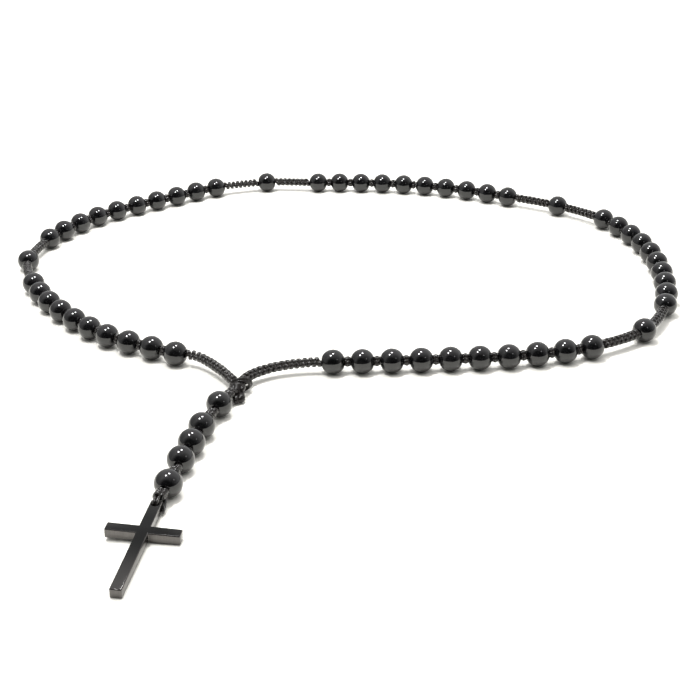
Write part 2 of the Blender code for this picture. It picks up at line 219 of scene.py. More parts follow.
def loop_lay(sizes):
    """(the loop's lay, [(bead, place of its middle along it)])."""
    beads = []
    s = sizes.centre_knot / 2 + sizes.right_arm
    for decade in range(1, DECADES + 1):
        for bead in range(1, BEADS_PER_DECADE + 1):
            beads.append((f"decade_{decade}_bead_{bead}", s + sizes.bead_length / 2))
            s += sizes.bead_length + (sizes.knot_length if bead < BEADS_PER_DECADE else 0)
        if decade < DECADES:
            s += sizes.sleeve_length
            beads.append((f"our_father_bead_{decade}", s + sizes.bead_length / 2))
            s += sizes.bead_length + sizes.sleeve_length
    length = s + sizes.left_arm + sizes.centre_knot / 2
    middle = sizes.bead_diameter / 2
    heights = [
        (0, sizes.centre_height), (sizes.right_arm, middle),
        (length - sizes.left_arm, middle), (length, sizes.centre_height),
    ]
    return Lay(LOOP_ROUTE, length, heights), beads


def drop_lay(sizes):
    """(the drop's lay, places of its beads along it)."""
    gaps = [
        sizes.top_sleeve, sizes.upper_sleeve, sizes.knot_length, sizes.knot_length,
        sizes.lower_sleeve,
    ]
    beads, s = [], sizes.centre_knot / 2
    for gap in gaps:
        s += gap + sizes.bead_length
        beads.append(s - sizes.bead_length / 2)
    length = s + sizes.end_sleeve + sizes.cord_loop
    first = beads[0] - sizes.bead_length / 2
    heights = [(0, sizes.centre_height), (first, sizes.bead_diameter / 2)]
    return Lay(DROP_ROUTE, length, heights), beads


def cross_place(sizes):
    """The matrix from the cross lying flat about its hole to its place on the table."""
    lay, _ = drop_lay(sizes)
    hole = lay.point(lay.length)
    below = sizes.cross_length - sizes.hole_from_end
    tilt = math.asin(sizes.end_lift / below)
    height = math.sin(tilt) * below + math.cos(tilt) * sizes.cross_thickness / 2
    turn = Matrix.Rotation(CROSS_TURN, 4, "Z") @ Matrix.Rotation(tilt, 4, "X")
    turn = turn @ Matrix.Rotation(CROSS_ROLL, 4, "Y")
    return Matrix.Translation((hole.x, hole.y, height)) @ turn


# Materials


def plain_material(name, colour, roughness, metallic=0.0):
    made = bpy.data.materials.new(name)
    made.use_nodes = True
    made.diffuse_color = (*colour, 1.0)
    shader = made.node_tree.nodes["Principled BSDF"]
    shader.inputs["Base Color"].default_value = (*colour, 1.0)
    shader.inputs["Roughness"].default_value = roughness
    shader.inputs["Metallic"].default_value = metallic
    return made, shader


def new_group(name, output, numbers=()):
    """(an empty shared effect, its input node, its output node): a place in, a number out."""
    group = bpy.data.node_groups.new(name, "ShaderNodeTree")
    group.interface.new_socket("Vector", in_out="INPUT", socket_type="NodeSocketVector")
    for socket, default in numbers:
        made = group.interface.new_socket(socket, in_out="INPUT", socket_type="NodeSocketFloat")
        made.default_value = default
    group.interface.new_socket(output, in_out="OUTPUT", socket_type="NodeSocketFloat")
    return group, group.nodes.new("NodeGroupInput"), group.nodes.new("NodeGroupOutput")


def cloudy_group():
    """Shared effect: a soft cloud of variation between a low and a high value."""
    name = "cloudy variation"
    if name in bpy.data.node_groups:
        return bpy.data.node_groups[name]
    numbers = (("Scale", 200.0), ("Low", 0.0), ("High", 1.0))
    group, start, end = new_group(name, "Value", numbers)
    nodes, links = group.nodes, group.links
    noise = nodes.new("ShaderNodeTexNoise")
    noise.inputs["Detail"].default_value = 3.0
    spread = nodes.new("ShaderNodeMapRange")
    spread.inputs["From Min"].default_value = 0.3
    spread.inputs["From Max"].default_value = 0.7
    links.new(start.outputs["Vector"], noise.inputs["Vector"])
    links.new(start.outputs["Scale"], noise.inputs["Scale"])
    links.new(noise.outputs["Fac"], spread.inputs["Value"])
    links.new(start.outputs["Low"], spread.inputs["To Min"])
    links.new(start.outputs["High"], spread.inputs["To Max"])
    links.new(spread.outputs["Result"], end.inputs["Value"])
    return group


def add_cloud(tree, vector, scale, low, high):
    """A cloud's value between low and high. A larger scale gives smaller clouds."""
    node = tree.nodes.new("ShaderNodeGroup")
    node.node_tree = cloudy_group()
    node.inputs["Scale"].default_value = scale
    node.inputs["Low"].default_value = low
    node.inputs["High"].default_value = high
    tree.links.new(vector, node.inputs["Vector"])
    return node.outputs["Value"]


def tint(tree, value, dark, light, socket):
    """A colour between dark and light by value, into the socket."""
    mix = tree.nodes.new("ShaderNodeMix")
    mix.data_type = "RGBA"
    mix.inputs["A"].default_value = (*dark, 1.0)
    mix.inputs["B"].default_value = (*light, 1.0)
    tree.links.new(value, mix.inputs["Factor"])
    tree.links.new(mix.outputs["Result"], socket)


def raise_surface(tree, shader, height, distance, strength):
    """Bumps the surface by a height, in metres of distance."""
    bump = tree.nodes.new("ShaderNodeBump")
    bump.inputs["Strength"].default_value = strength
    bump.inputs["Distance"].default_value = distance
    tree.links.new(height, bump.inputs["Height"])
    tree.links.new(bump.outputs["Normal"], shader.inputs["Normal"])


def stone_material(colours):
    made, shader = plain_material("polished black stone", colours.stone, 0.05)
    tree = made.node_tree
    place = tree.nodes.new("ShaderNodeTexCoord").outputs["Object"]
    cloud = add_cloud(tree, place, 450.0, 0.0, 1.0)
    dark = [c * 0.6 for c in colours.stone]
    light = [c * 1.7 for c in colours.stone]
    tint(tree, cloud, dark, light, shader.inputs["Base Color"])
    tree.links.new(add_cloud(tree, place, 900.0, 0.03, 0.075), shader.inputs["Roughness"])
    raise_surface(tree, shader, add_cloud(tree, place, 350.0, 0.0, 1.0), 0.00001, 0.4)
    shader.inputs["IOR"].default_value = 1.57
    return made


def braid_group():
    """Shared effect: the herringbone of a fine braided cord, from a UV map in millimetres."""
    name = "fine braid"
    if name in bpy.data.node_groups:
        return bpy.data.node_groups[name]
    group, start, end = new_group(name, "Height")
    nodes, links = group.nodes, group.links
    apart = nodes.new("ShaderNodeSeparateXYZ")
    links.new(start.outputs["Vector"], apart.inputs["Vector"])

    def calculate(operation, first, second=None):
        node = nodes.new("ShaderNodeMath")
        node.operation = operation
        for value, socket in zip((first, second), node.inputs):
            if isinstance(value, bpy.types.NodeSocket):
                links.new(value, socket)
            elif value is not None:
                socket.default_value = value
        return node.outputs["Value"]

    along = calculate("MULTIPLY", apart.outputs["X"], 15.0)
    around = calculate("MULTIPLY", apart.outputs["Y"], 18.85)
    one_way = calculate("SINE", calculate("ADD", along, around))
    other_way = calculate("SINE", calculate("SUBTRACT", along, around))
    links.new(calculate("MAXIMUM", one_way, other_way), end.inputs["Height"])
    return group


def cord_material(colours):
    made, shader = plain_material("waxed black cord", colours.cord, 0.25)
    tree = made.node_tree
    coordinates = tree.nodes.new("ShaderNodeTexCoord")
    cloud = add_cloud(tree, coordinates.outputs["Object"], 700.0, 0.0, 1.0)
    dark = [c * 0.5 for c in colours.cord]
    light = [c * 2.2 for c in colours.cord]
    tint(tree, cloud, dark, light, shader.inputs["Base Color"])
    wax = add_cloud(tree, coordinates.outputs["Object"], 1100.0, 0.17, 0.36)
    tree.links.new(wax, shader.inputs["Roughness"])
    shader.inputs["IOR"].default_value = 1.3
    shader.inputs["Coat Weight"].default_value = 0.75
    shader.inputs["Coat Roughness"].default_value = 0.1
    braid = tree.nodes.new("ShaderNodeGroup")
    braid.node_tree = braid_group()
    tree.links.new(coordinates.outputs["UV"], braid.inputs["Vector"])
    raise_surface(tree, shader, braid.outputs["Height"], 0.00005, 0.7)
    return made


def melted_material(colours):
    """Cord that was sealed with heat: smooth and glossy."""
    made, shader = plain_material("melted cord", colours.cord, 0.25)
    shader.inputs["IOR"].default_value = 1.34
    tree = made.node_tree
    place = tree.nodes.new("ShaderNodeTexCoord").outputs["Object"]
    tree.links.new(add_cloud(tree, place, 500.0, 0.22, 0.36), shader.inputs["Roughness"])
    lumps = add_cloud(tree, place, 900.0, 0.0, 1.0)
    raise_surface(tree, shader, lumps, 0.00006, 0.4)
    return made


def brushed_group():
    """Shared effect: fine upright brush lines on the cross's sides."""
    name = "fine brush lines"
    if name in bpy.data.node_groups:
        return bpy.data.node_groups[name]
    group, start, end = new_group(name, "Value")
    nodes, links = group.nodes, group.links
    brush = nodes.new("ShaderNodeMapping")
    brush.inputs["Rotation"].default_value = (0.0, 0.0, -CROSS_TURN)
    brush.inputs["Scale"].default_value = (1.0, 1.0, 0.05)
    noise = nodes.new("ShaderNodeTexNoise")
    noise.inputs["Scale"].default_value = 3200.0
    noise.inputs["Detail"].default_value = 2.0
    links.new(start.outputs["Vector"], brush.inputs["Vector"])
    links.new(brush.outputs["Vector"], noise.inputs["Vector"])
    links.new(noise.outputs["Fac"], end.inputs["Value"])
    return group


def steel_material(colours):
    """The cross's sides."""
    made, shader = plain_material("dark brushed steel", colours.steel, 0.2, metallic=1.0)
    tree = made.node_tree
    place = tree.nodes.new("ShaderNodeTexCoord").outputs["Object"]
    lines = tree.nodes.new("ShaderNodeGroup")
    lines.node_tree = brushed_group()
    tree.links.new(place, lines.inputs["Vector"])
    dark = [c * 0.8 for c in colours.steel]
    light = [c * 1.2 for c in colours.steel]
    tint(tree, lines.outputs["Value"], dark, light, shader.inputs["Base Color"])
    tree.links.new(add_cloud(tree, place, 260.0, 0.14, 0.24), shader.inputs["Roughness"])
    raise_surface(tree, shader, lines.outputs["Value"], 0.00002, 0.35)
    return made


def enamel_material(colours, middle):
    """The cross's front: polished black, with a painted reflection of lighter steel towards the
    ends of its bars.
    """
    made, shader = plain_material("polished black front", colours.front, 0.1)
    tree = made.node_tree
    nodes, links = tree.nodes, tree.links
    place = nodes.new("ShaderNodeTexCoord").outputs["Object"]
    away = nodes.new("ShaderNodeVectorMath")
    away.operation = "DISTANCE"
    away.inputs[1].default_value = middle
    links.new(place, away.inputs[0])
    # painted reflection: colour and metal go from the black front to lighter steel away from the
    # middle of the arms
    painted_reflection = nodes.new("ShaderNodeMapRange")
    painted_reflection.interpolation_type = "SMOOTHSTEP"
    painted_reflection.inputs["From Min"].default_value = 0.004
    painted_reflection.inputs["From Max"].default_value = 0.026
    painted_reflection.inputs["To Min"].default_value = 0.0
    painted_reflection.inputs["To Max"].default_value = 0.5
    links.new(away.outputs["Value"], painted_reflection.inputs["Value"])
    links.new(painted_reflection.outputs["Result"], shader.inputs["Metallic"])
    tint(tree, painted_reflection.outputs["Result"], colours.front, colours.steel, shader.inputs["Base Color"])
    links.new(add_cloud(tree, place, 300.0, 0.07, 0.13), shader.inputs["Roughness"])
    shader.inputs["IOR"].default_value = 1.22
    return made


# Making meshes


def start_piece():
    if bpy.context.mode != "OBJECT":
        bpy.ops.object.mode_set(mode="OBJECT")
    bpy.ops.object.select_all(action="DESELECT")


def finish_piece(piece, name, finish, angle=35.0):
    """Names the active piece, applies its place and gives it its finish."""
    start_piece()
    piece.name = name
    piece.data.name = name
    piece.select_set(True)
    bpy.context.view_layer.objects.active = piece
    bpy.ops.object.transform_apply(location=True, rotation=True, scale=True)
    bpy.ops.object.shade_smooth_by_angle(angle=math.radians(angle))
    piece.data.materials.clear()
    piece.data.materials.append(finish)
    return piece


def pick(piece, wanted, kind="FACE"):
    """In edit mode, selects the faces, edges or vertices that are wanted, and nothing else."""
    bpy.ops.mesh.select_mode(type=kind)
    bpy.ops.mesh.select_all(action="DESELECT")
    shape = bmesh.from_edit_mesh(piece.data)
    parts = {"FACE": shape.faces, "EDGE": shape.edges, "VERT": shape.verts}[kind]
    for part in parts:
        if wanted(part):
            part.select_set(True)
    shape.select_flush_mode()
    bmesh.update_edit_mesh(piece.data)


def turn_outwards(piece):
    bpy.ops.mesh.select_all(action="SELECT")
    bpy.ops.mesh.remove_doubles(threshold=1e-6)
    bpy.ops.mesh.normals_make_consistent(inside=False)


class Tubes:
    """Strands of cord, each a closed round tube, gathered in one mesh with a UV map in mm."""

    def __init__(self):
        self.shape = bmesh.new()
        self.uv = self.shape.loops.layers.uv.new("along and around")

    def add(self, points, radius, sides=8, finish=0, scales=None):
        """A round-ended tube through the points. scales are shares of the radius at them."""
        points = [Vector(p) for p in points]
        count = len(points)
        scales = scales or [1.0] * count
        tangents = []
        for i in range(count):
            step = points[min(i + 1, count - 1)] - points[max(i - 1, 0)]
            tangents.append(step.normalized())
        starts, ends = [], []
        for past, share in CAP:
            tip = points[0] - radius * scales[0] * past * tangents[0]
            starts.append((tip, tangents[0], share * scales[0]))
            tip = points[-1] + radius * scales[-1] * past * tangents[-1]
            ends.append((tip, tangents[-1], share * scales[-1]))
        stations = starts + list(zip(points, tangents, scales)) + ends[::-1]
        rings, places = [], []
        side, along, before = None, 0.0, None
        for point, tangent, scale in stations:
            if side is None:
                side = tangent.orthogonal()
            side = (side - side.dot(tangent) * tangent).normalized()
            up = tangent.cross(side)
            ring = []
            for k in range(sides):
                angle = 2 * math.pi * k / sides
                out = math.cos(angle) * side + math.sin(angle) * up
                ring.append(self.shape.verts.new(point + radius * scale * out))
            along += (point - before).length / MM if before is not None else 0.0
            before = point
            rings.append(ring)
            places.append(along)
        girth = 2 * math.pi * radius / MM
        for i in range(len(rings) - 1):
            for k in range(sides):
                m = (k + 1) % sides
                corners = (rings[i][k], rings[i][m], rings[i + 1][m], rings[i + 1][k])
                face = self.shape.faces.new(corners)
                face.smooth = True
                face.material_index = finish
                around = (k / sides * girth, (k + 1) / sides * girth)
                spots = (
                    (places[i], around[0]), (places[i], around[1]),
                    (places[i + 1], around[1]), (places[i + 1], around[0]),
                )
                for loop, spot in zip(face.loops, spots):
                    loop[self.uv].uv = spot
        for ring in (rings[0][::-1], rings[-1]):
            face = self.shape.faces.new(ring)
            face.material_index = finish

    def piece(self, name, finishes, slot):
        bmesh.ops.recalc_face_normals(self.shape, faces=self.shape.faces)
        mesh = bpy.data.meshes.new(name)
        self.shape.to_mesh(mesh)
        self.shape.free()
        for finish in finishes:
            mesh.materials.append(finish)
        made = bpy.data.objects.new(name, mesh)
        bpy.context.scene.collection.objects.link(made)
        return made


# The rings of a round end, the tip first: how far past the last point and how wide, both in
# shares of the radius there
CAP = [(0.98, 0.2), (0.86, 0.52), (0.5, 0.87)]


def core_points(lay, start, end):
    """Points along the lay, at most 3 mm apart."""
    count = max(15, math.ceil((end - start) / (3 * MM)))
    return [lay.point(start + (end - start) * i / count) for i in range(count + 1)]


# Knots


def wrap(lay, s, angle, side, reach, depth, offset):
    """A point of a working strand that goes round the core: angle 0 is the lobe's outside."""
    _, across, face = lay.section(s)
    u = side * (offset + reach * math.cos(angle))
    return lay.point(s) + u * across + depth * math.sin(angle) * face


def tie_turns(tubes, lay, places, span, side, thick, shape, shaken, ends=1.0):
    """One doubled strand that goes round the core, a lobe at each of the places and no part
    outside the span. shape is how far its lobes reach out, how deep its flat side stands, and
    how far its turns sit to its own side. The first and last lobes are ends times as
    large."""
    reach, depth, offset = shape
    pitch = places[1] - places[0] if len(places) > 1 else span[1] - span[0]
    centre, outwards = [], []
    for i, place in enumerate(places):
        swell = 1.0 + shaken.uniform(-0.05, 0.04)
        if i in (0, len(places) - 1):
            swell *= ends
        slip = shaken.uniform(-0.07, 0.07) * MM
        for k in range(STEPS_PER_TURN + (i + 1 == len(places))):
            angle = -math.pi + 2 * math.pi * k / STEPS_PER_TURN
            s = place + pitch * (k / STEPS_PER_TURN - 0.5) + slip * max(0.0, math.cos(angle))
            s = min(max(s, span[0]), span[1])
            centre.append(wrap(lay, s, angle, side, reach * swell, depth * swell, offset))
            outwards.append(centre[-1] - lay.point(s))
    double(tubes, centre, outwards, thick, shaken.uniform(-0.35, 0.35))


def double(tubes, centre, outwards, thick, lean, scales=None):
    """Two strands side by side along the centre, turned by lean about it."""
    radius, apart = STRAND_RADIUS * thick, STRAND_APART * thick
    for phase in (0.5, 1.5):
        angle, points = phase * math.pi + lean, []
        for i, (point, out) in enumerate(zip(centre, outwards)):
            ahead = (centre[min(i + 1, len(centre) - 1)] - centre[max(i - 1, 0)]).normalized()
            out = (out - out.dot(ahead) * ahead).normalized()
            aside = math.cos(angle) * out + math.sin(angle) * ahead.cross(out)
            points.append(point + apart * aside)
        tubes.add(points, radius, scales=scales)


def add_sleeve(tubes, lay, start, end, sizes, shaken, wide=1.0, each=SLEEVE_PITCH):
    """Two doubled strands tied round the core in a row of knots, their lobes on alternate
    sides, each so far from the next."""
    thick = sizes.strand_diameter * min(1.0, each / (1.7 * MM))
    span = (start + 0.42 * thick, end - 0.42 * thick)
    count = max(1, round((span[1] - span[0]) / each + 0.5))
    pitch = (span[1] - span[0]) / (count - 0.5)
    for side in (1, -1):
        first = span[0] + (pitch / 2 if side < 0 else 0.0)
        places = [first + pitch * i for i in range(count)]
        shape = (0.7 * wide * MM, 1.08 * wide * MM, 0.53 * wide * MM)
        tie_turns(tubes, lay, places, span, side, thick, shape, shaken)


def add_knot(tubes, lay, start, end, sizes, shaken):
    """One knot between two beads: three lobes each side, crossed over on its faces."""
    thick = 0.8 * sizes.strand_diameter
    span = (start + 0.45 * thick, end - 0.45 * thick)
    places = [span[0], (span[0] + span[1]) / 2, span[1]]
    for side in (1, -1):
        shape = (0.86 * MM, (1.02 + 0.05 * side) * MM, 0.56 * MM)
        tie_turns(tubes, lay, places, span, side, thick, shape, shaken, 0.74)


def add_work(tubes, lay, low, high, sizes, shaken, wide=1.0):
    """Knots that fill the cord between low and high: one knot, or a sleeve where it is long."""
    if high - low < LONGEST_KNOT:
        add_knot(tubes, lay, low, high, sizes, shaken)
    else:
        add_sleeve(tubes, lay, low, high, sizes, shaken, wide)


# Operators


class ROSARY_OT_stage(bpy.types.Operator):
    """Lays the table, sets the studio light and places the camera"""

    bl_idname = "rosary.stage"
    bl_label = "Table, Light and Camera"

    def execute(self, context):
        colours = context.scene.rosary_colours
        camera = bpy.data.objects.new("camera", bpy.data.cameras.new("camera"))
        context.scene.collection.objects.link(camera)
        camera.data.sensor_width = 36.0
        camera.data.lens = CAMERA_LENS
        camera.data.clip_start = 0.01
        camera.data.clip_end = 50.0
        look = Matrix.Rotation(CAMERA_PITCH, 4, "X") @ Matrix.Rotation(CAMERA_ROLL, 4, "Z")
        camera.matrix_world = Matrix.Translation(CAMERA_PLACE) @ look
        context.scene.camera = camera

        start_piece()
        bpy.ops.mesh.primitive_plane_add(size=TABLE_SIZE, location=(0, 0, 0))
        table = context.active_object
        table.name = "table"
        finish, _ = plain_material("white table", colours.table, 0.6)
        table.data.materials.append(finish)

        add_surroundings(context.scene)
        lamps = [add_lamp(*lamp) for lamp in LAMPS]
        lamps[-1].visible_glossy = False
        context.scene.view_settings.view_transform = "Standard"
        return {"FINISHED"}


def add_surroundings(scene):
    """White all round, dim to the left and dark in front, and plain white to the camera."""
    world = bpy.data.worlds.new("white studio")
    world.use_nodes = True
    scene.world = world
    tree = world.node_tree
    nodes, links = tree.nodes, tree.links
    direction = nodes.new("ShaderNodeTexCoord").outputs["Generated"]

    def shade(towards, near, far, bright, dim):
        """bright away from a direction and dim towards it. near and far are the cosines of the
        angles at which it is quite dim and quite bright."""
        facing = nodes.new("ShaderNodeVectorMath")
        facing.operation = "DOT_PRODUCT"
        facing.inputs[1].default_value = Vector(towards).normalized()
        links.new(direction, facing.inputs[0])
        spread = nodes.new("ShaderNodeMapRange")
        spread.inputs["From Min"].default_value = far
        spread.inputs["From Max"].default_value = near
        spread.inputs["To Min"].default_value = bright
        spread.inputs["To Max"].default_value = dim
        links.new(facing.outputs["Value"], spread.inputs["Value"])
        return spread.outputs["Result"]

    def combine(operation, first, second):
        node = nodes.new("ShaderNodeMath")
        node.operation = operation
        links.new(first, node.inputs[0])
        links.new(second, node.inputs[1])
        return node.outputs["Value"]

    front = shade((-0.14, -0.955, 0.26), 0.8, 0.42, 1.05, 0.015)
    front_right = shade((0.36, -0.895, 0.26), 0.96, 0.15, 1.05, 0.015)
    left = shade((-0.96, 0.26, -0.15), 0.85, 0.4, 1.0, 0.48)
    light = combine("MULTIPLY", combine("MINIMUM", front, front_right), left)
    seen = nodes.new("ShaderNodeMix")
    links.new(nodes.new("ShaderNodeLightPath").outputs["Is Camera Ray"], seen.inputs["Factor"])
    links.new(light, seen.inputs["A"])
    seen.inputs["B"].default_value = BACKDROP
    links.new(seen.outputs["Result"], nodes["Background"].inputs["Strength"])
    nodes["Background"].inputs["Color"].default_value = (1.0, 1.0, 1.0, 1.0)


def add_lamp(name, place, size, power):
    data = bpy.data.lights.new(name, "AREA")
    data.shape = "RECTANGLE"
    data.size, data.size_y = size
    data.energy = power
    lamp = bpy.data.objects.new(name, data)
    bpy.context.scene.collection.objects.link(lamp)
    lamp.location = place
    lamp.rotation_euler = (-Vector(place)).to_track_quat("-Z", "Y").to_euler()
    return lamp


class ROSARY_OT_cord(bpy.types.Operator):
    """Strings the core cord of the loop and of the drop"""

    bl_idname = "rosary.cord"
    bl_label = "Core Cord"

    def execute(self, context):
        sizes = context.scene.rosary_sizes
        finish = cord_material(context.scene.rosary_colours)
        lay, beads = loop_lay(sizes)
        for name, (start, end) in string_spans(sizes, lay, dict(beads)).items():
            string_core(name, lay, start, end, sizes, finish)
        lay, _ = drop_lay(sizes)
        end = lay.length - sizes.cord_loop - 0.3 * MM
        string_core("drop", lay, 1.6 * MM, end, sizes, finish)
        return {"FINISHED"}


def string_spans(sizes, lay, place):
    """Where each string of the loop starts and ends along it. A string that holds the bead at
    its end reaches into it, and the next string starts clear of it, to turn freely."""
    inside = sizes.bead_length / 2 - 0.25 * MM
    past = sizes.bead_length / 2 + 0.38 * MM
    knot = sizes.centre_knot / 2 - 0.2 * MM
    spans = {}
    for name, (first, last) in STRINGS.items():
        holds_first = name == "left_front"
        holds_last = name in ("right_front", "right_back")
        start = place[first] + (-inside if holds_first else past) if first else knot
        end = place[last] + (inside if holds_last else -past) if last else lay.length - knot
        spans[name] = (start, end)
    return spans


def string_core(name, lay, start, end, sizes, finish):
    """The core cord of the body of that name, from start to end with its round ends."""
    radius = sizes.core_diameter / 2
    start, end = start + radius, end - radius
    points = core_points(lay, start, end)
    tubes = Tubes()
    tubes.add(points, radius)
    piece = tubes.piece(f"{name}_core_cord", [finish], "cord")
    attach(piece, name)


class ROSARY_OT_loop_knots(bpy.types.Operator):
    """Ties the knots and sleeves of the loop round its core cord"""

    bl_idname = "rosary.loop_knots"
    bl_label = "Loop Knots and Sleeves"

    def execute(self, context):
        sizes = context.scene.rosary_sizes
        finish = cord_material(context.scene.rosary_colours)
        lay, beads = loop_lay(sizes)
        half = sizes.bead_length / 2
        for name, (start, end) in string_spans(sizes, lay, dict(beads)).items():
            shaken = random.Random(len(name))
            tubes = Tubes()
            edges = [start]
            for _, s in beads:
                if start - half < s < end + half:
                    edges += [s - half, s + half]
            edges.append(end)
            for low, high in zip(edges[::2], edges[1::2]):
                if high - low > SHORTEST_WORK:
                    low, high = low + WORK_MARGIN, high - WORK_MARGIN
                    add_work(tubes, lay, low, high, sizes, shaken)
            piece = tubes.piece(f"{name}_knots", [finish], "cord")
            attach(piece, name)
            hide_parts(f"{name}_string")
        return {"FINISHED"}


def drilled_bead(sizes):
    """One bead with its bore along X: a ball with a flat and a hole at each end."""
    start_piece()
    radius, half = sizes.bead_diameter / 2, sizes.bead_length / 2
    bpy.ops.mesh.primitive_uv_sphere_add(
        segments=40, ring_count=24, radius=radius, rotation=(0, math.pi / 2, 0)
    )
    bead = bpy.context.active_object
    bpy.ops.object.transform_apply(location=True, rotation=True, scale=True)
    bpy.ops.object.mode_set(mode="EDIT")
    for way in (1, -1):
        bpy.ops.mesh.select_all(action="SELECT")
        bpy.ops.mesh.bisect(
            plane_co=(way * half, 0, 0), plane_no=(way, 0, 0), use_fill=True, clear_outer=True
        )
    flat = math.sqrt(radius**2 - half**2)
    pick(bead, lambda face: abs(face.normal.x) > 0.99 and len(face.verts) > 8)
    bpy.ops.mesh.inset(thickness=flat - sizes.bead_bore / 2, use_individual=True)
    pick(bead, lambda face: abs(face.normal.x) > 0.99 and len(face.verts) > 8)
    bpy.ops.mesh.bridge_edge_loops()
    turn_outwards(bead)
    pick(
        bead,
        lambda edge: all(
            abs(abs(v.co.x) - half) < 1e-5 and abs(math.hypot(v.co.y, v.co.z) - flat) < 1e-5
            for v in edge.verts
        ),
        "EDGE",
    )
    bpy.ops.mesh.bevel(offset=0.1 * MM, segments=2, affect="EDGES")
    bpy.ops.object.mode_set(mode="OBJECT")
    return bead


def copy_bead(bead, name, lay, s, finish, body, node):
    """A copy of the bead at s along the lay. node is the solid it stands for, if any."""
    mesh = bead.data.copy()
    turn = Matrix.Rotation(math.atan2(lay.tangent(s).y, lay.tangent(s).x), 4, "Z")
    mesh.transform(Matrix.Translation(lay.point(s)) @ turn)
    piece = bpy.data.objects.new(name, mesh)
    bpy.context.scene.collection.objects.link(piece)
    finish_piece(piece, name, finish)
    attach(piece, body)
    if node:
        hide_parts(node)


class ROSARY_OT_beads(bpy.types.Operator):
    """Drills one polished bead and strings its copies round the loop and down the drop"""

    bl_idname = "rosary.beads"
    bl_label = "Beads"

    def execute(self, context):
        sizes = context.scene.rosary_sizes
        finish = stone_material(context.scene.rosary_colours)
        bead = drilled_bead(sizes)
        lay, beads = loop_lay(sizes)
        for node, s in beads:
            copy_bead(bead, f"{node}_polished", lay, s, finish, node, node)
        lay, beads = drop_lay(sizes)
        for i, s in enumerate(beads, 1):
            copy_bead(bead, f"drop_bead_{i}_polished", lay, s, finish, "drop", None)
        bpy.data.meshes.remove(bead.data)
        return {"FINISHED"}


class ROSARY_OT_drop(bpy.types.Operator):
    """Ties the centre knot, the drop's sleeves and the cord loop that holds the cross"""

    bl_idname = "rosary.drop"
    bl_label = "Centre Knot and Drop"

    def execute(self, context):
        sizes = context.scene.rosary_sizes
        colours = context.scene.rosary_colours
        finishes = [cord_material(colours), melted_material(colours)]
        lay, beads = drop_lay(sizes)
        shaken = random.Random(11)
        half = sizes.bead_length / 2
        tubes = Tubes()
        first = sizes.centre_knot / 2 + 0.9 * MM
        edges = [first, *(x for s in beads for x in (s - half, s + half))]
        for low, high in zip(edges[::2], edges[1::2]):
            low, high = low + WORK_MARGIN, high - WORK_MARGIN
            add_work(tubes, lay, low, high, sizes, shaken, wide=0.97)
        end = lay.length - sizes.cord_loop + 0.6 * MM
        add_sleeve(tubes, lay, edges[-1], end, sizes, shaken, wide=1.12, each=1.35 * MM)
        sleeves = tubes.piece("drop_knots", finishes, "cord")
        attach(sleeves, "drop")
        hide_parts("drop_string")

        ring = tie_ring(lay, finishes)
        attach(ring, "right_front")
        knot = tie_centre_knot(lay, finishes)
        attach(knot, "drop")
        loop = tie_cord_loop(sizes, lay, finishes)
        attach(loop, "drop")
        return {"FINISHED"}


def tie_ring(lay, finishes):
    """Two turns of cord over the back of the centre knot, where the arms go in."""
    tubes = Tubes()
    for back, wide, thick in ((-0.1, 1.0, 0.62), (0.95, 0.9, 0.45)):
        centre = lay.point(0) + Vector((0.5, 1.1 - back, -0.1)) * MM
        ring = []
        for k in range(33):
            angle = math.pi * (k / 16 - 0.5)
            aside = Vector((3.0, 0.6, 0.0)) * math.cos(angle) * wide
            rise = Vector((0.0, -1.1, 2.4)) * math.sin(angle) * wide
            ring.append(centre + (aside + rise) * MM)
        tubes.add(ring, thick * MM, sides=10, finish=MELTED)
    return tubes.piece("centre_ring", finishes, "cord")


def tie_centre_knot(lay, finishes):
    """A smooth lump in front of the ring of cord, and two stubs with melted ends."""
    middle = lay.point(0)
    tubes = Tubes()
    lump = [
        middle + Vector((-0.1 + 0.12 * y, y, 0.0)) * MM for y in (-1.1, -1.6, -2.1, -2.6, -3.0)
    ]
    scales = [0.7, 0.94, 1.0, 0.92, 0.68]
    tubes.add(lump, 2.35 * MM, sides=20, finish=MELTED, scales=scales)
    for x, radius in ((-1.6, 1.3), (1.1, 1.15)):
        bulge = [middle + Vector((x, y, 0.5)) * MM for y in (-0.6, -1.5, -2.4, -3.2)]
        scales = [0.8, 1.0, 1.0, 0.75]
        tubes.add(bulge, radius * MM, sides=12, finish=MELTED, scales=scales)
    for shift, reach, thick in ((-0.9, 7.1, 1.2), (0.6, 6.5, 1.3)):
        tail = [
            middle + Vector((0.1 + 0.5 * shift, -2.4, -0.6)) * MM,
            middle + Vector((0.2 + 0.9 * shift, -3.8, -1.0)) * MM,
            middle + Vector((0.3 + shift, -5.0, thick - 2.6)) * MM,
            middle + Vector((0.25 + shift, -(5.0 + reach) / 2, thick - 2.7)) * MM,
            middle + Vector((0.1 + 0.9 * shift, 0.6 - reach, thick - 2.7)) * MM,
        ]
        scales = [0.8, 0.9, 1.0, 1.05, 0.9]
        tubes.add(tail, thick * MM, sides=12, finish=MELTED, scales=scales)
    return tubes.piece("centre_knot", finishes, "cord")


